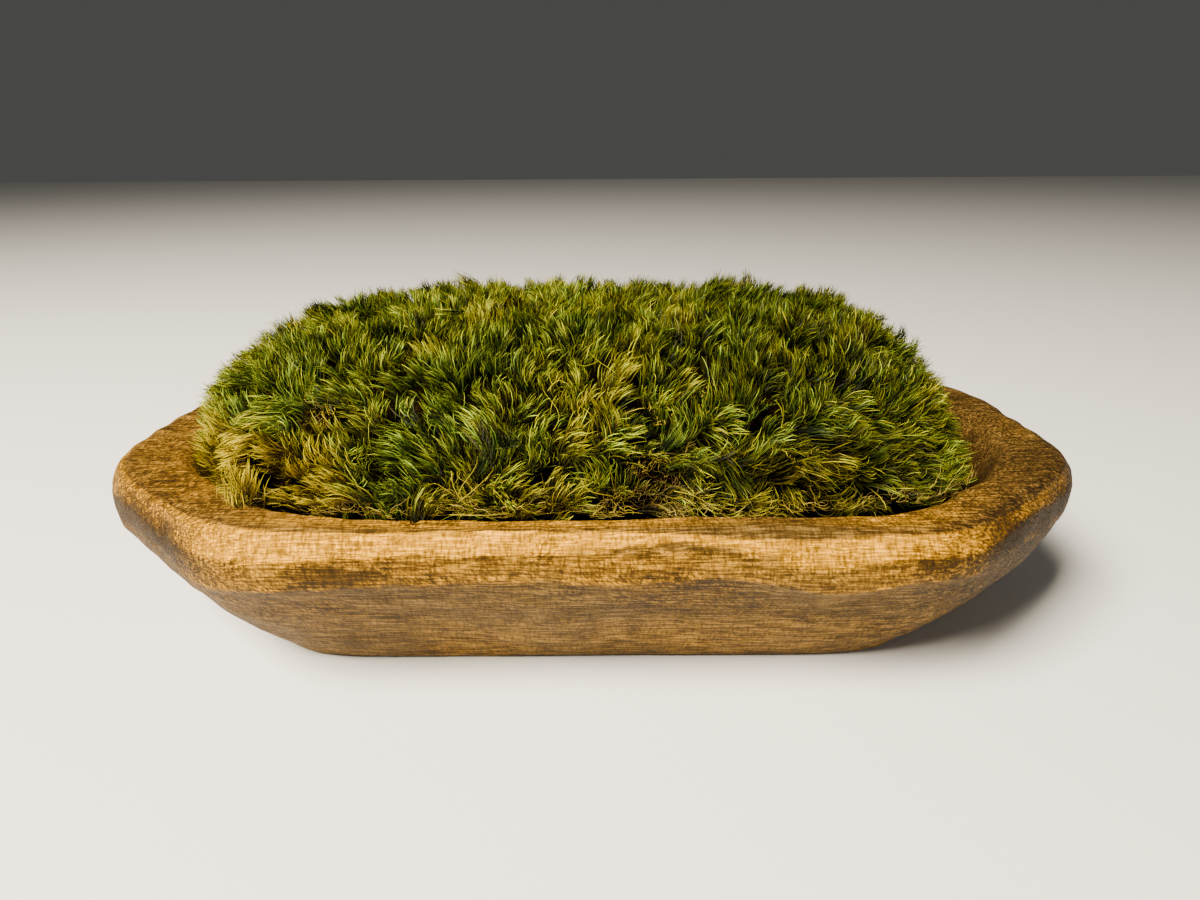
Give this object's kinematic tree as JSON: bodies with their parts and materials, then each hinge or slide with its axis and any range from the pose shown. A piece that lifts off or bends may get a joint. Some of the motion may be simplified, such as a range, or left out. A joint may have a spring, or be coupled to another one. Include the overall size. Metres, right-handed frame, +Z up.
{
  "type": "moss clump",
  "caption": "Cushions of feathery moss pressed together to fill a small hand-carved wooden dough bowl, as a table ornament.",
  "frame": {"origin": "centre of the bounding box in plan, on the surface that the bowl stands on", "axes": "+X along the bowl's long axis, towards the end where the moss leaves a gap; +Y from the pictured long side to the back; +Z up"},
  "size_m": [0.2488, 0.1439, 0.0855],
  "materials": {
    "carved_wood": "oiled golden brown wood with open knife marks, dark stain in the grain and worn pale edges",
    "left_moss": "feathery moss, olive green with yellow-gold tufts low at the front",
    "middle_moss": "feathery moss, olive green with pale leaf tips and dark gaps",
    "right_moss": "feathery moss, darker olive green with a few brown dead stems"
  },
  "bodies": {
    "root": {"wooden_bowl": "carved_wood", "moss_cushion_left": "left_moss", "moss_cushion_middle": "middle_moss", "moss_cushion_right": "right_moss"}
  },
  "joints": []
}
